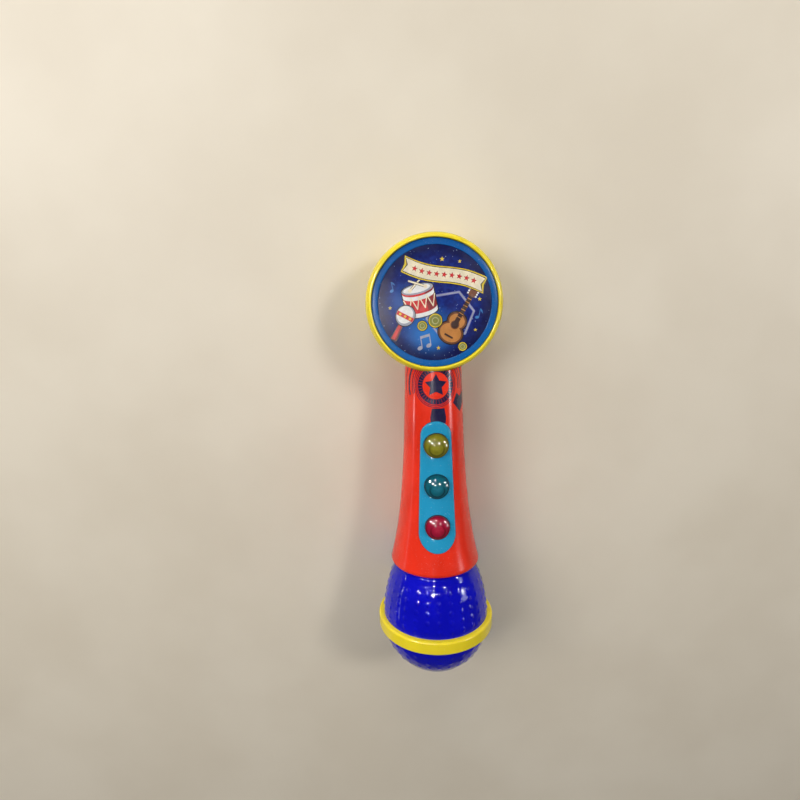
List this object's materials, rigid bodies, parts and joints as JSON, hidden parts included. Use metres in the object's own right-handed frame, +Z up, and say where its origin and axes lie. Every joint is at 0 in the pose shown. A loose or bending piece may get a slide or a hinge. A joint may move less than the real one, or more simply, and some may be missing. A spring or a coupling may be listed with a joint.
{
  "type": "toy microphone",
  "caption": "Handheld toy microphone with a ball head, a proud ring, a flared grip with melody buttons on a raised panel, and a round picture disc at the handle's end.",
  "frame": {"origin": "centre of the bounding box's underside, on the plane the microphone lies on", "axes": "+Y along the microphone from its ball head to the round disc at the handle's end, +Z up from the surface it lies on, buttons facing up, +X to the right with the disc end ahead"},
  "size_m": [0.0678, 0.2389, 0.0642],
  "materials": {
    "orange_plastic": "smooth moulded orange-red plastic with a printed emblem",
    "yellow_plastic": "smooth moulded yellow plastic",
    "blue_plastic": "glossy royal-blue plastic with a grid of small bumps",
    "cyan_plastic": "satin cyan plastic",
    "mid_blue_plastic": "satin mid-blue plastic",
    "picture_print": "printed and laminated picture",
    "clear_yellow": "tinted translucent plastic",
    "clear_teal": "tinted translucent plastic",
    "clear_red": "tinted translucent plastic",
    "circuit_board": "green solder mask",
    "black_resin": "black resin blob",
    "black_plastic": "matt black plastic",
    "led_body": "white lamp housing",
    "lamp_red": "clear red lamp",
    "lamp_green": "clear green lamp",
    "lamp_white": "clear white lamp",
    "tray_plastic": "orange-red moulded plastic",
    "cell_jacket": "printed steel jacket",
    "wire_red": "red insulation",
    "wire_black": "black insulation",
    "speaker_paper": "black pressed paper cone",
    "ferrite": "dark ferrite magnet",
    "steel": "plated steel"
  },
  "bodies": {
    "microphone": {"battery_1": "cell_jacket", "battery_2": "cell_jacket", "battery_contact_bridge": "steel", "battery_contact_minus": "steel", "battery_contact_plus": "steel", "battery_spring_1": "steel", "battery_spring_2": "steel", "battery_tray": "tray_plastic", "battery_wire_black": "wire_black", "battery_wire_red": "wire_red", "board_screw_1": "steel", "board_screw_2": "steel", "button_led_1": "led_body", "button_led_2": "led_body", "button_led_3": "led_body", "button_panel": "cyan_plastic", "button_switch_1": "black_plastic", "button_switch_2": "black_plastic", "button_switch_3": "black_plastic", "disc_face_plate": "mid_blue_plastic", "disc_front_housing": "yellow_plastic", "disc_picture": "picture_print", "disc_rear_housing": "yellow_plastic", "disc_screw_1": "steel", "disc_screw_2": "steel", "disc_screw_3": "steel", "handle_front_shell": "orange_plastic", "handle_rear_shell": "orange_plastic", "handle_screw_1": "steel", "handle_screw_2": "steel", "head_led_board": "circuit_board", "head_led_green": "lamp_green", "head_led_red": "lamp_red", "head_led_white": "lamp_white", "head_lower_dome": "blue_plastic", "head_ring": "yellow_plastic", "head_upper_dome": "blue_plastic", "head_wire_black": "wire_black", "head_wire_red": "wire_red", "main_circuit_board": "circuit_board", "power_switch_body": "steel", "sound_chip": "black_resin", "speaker_basket": "steel", "speaker_cone": "speaker_paper", "speaker_magnet": "ferrite", "speaker_wire_black": "wire_black", "speaker_wire_red": "wire_red"},
    "button_yellow": {"button_cap_yellow": "clear_yellow"},
    "button_teal": {"button_cap_teal": "clear_teal"},
    "button_red": {"button_cap_red": "clear_red"},
    "power_knob": {"power_switch_knob": "black_plastic"},
    "battery_cover": {"battery_door": "orange_plastic"},
    "cover_screw": {"battery_door_screw": "steel"}
  },
  "joints": [
    {"name": "press_yellow_button", "type": "slide", "parent": "microphone", "child": "button_yellow", "axis": [0, -0.1622, -0.9868], "range_m": [0, 0.0008], "stiffness_N_per_m": 1500, "springref_m": -0.0004},
    {"name": "press_teal_button", "type": "slide", "parent": "microphone", "child": "button_teal", "axis": [0, -0.1622, -0.9868], "range_m": [0, 0.0008], "stiffness_N_per_m": 1500, "springref_m": -0.0004},
    {"name": "press_red_button", "type": "slide", "parent": "microphone", "child": "button_red", "axis": [0, -0.1622, -0.9868], "range_m": [0, 0.0008], "stiffness_N_per_m": 1500, "springref_m": -0.0004},
    {"name": "slide_power_switch", "type": "slide", "parent": "microphone", "child": "power_knob", "axis": [0, 0.9965, -0.0831], "range_m": [0, 0.004]},
    {"name": "lift_off_battery_door", "type": "slide", "parent": "microphone", "child": "battery_cover", "axis": [0, -0.0831, -0.9965], "range_m": [0, 0.012]},
    {"name": "turn_battery_door_screw", "type": "hinge", "parent": "battery_cover", "child": "cover_screw", "pos_m": [0, -0.03828, 0.00855], "axis": [0, -0.0831, -0.9965], "continuous": true}
  ]
}
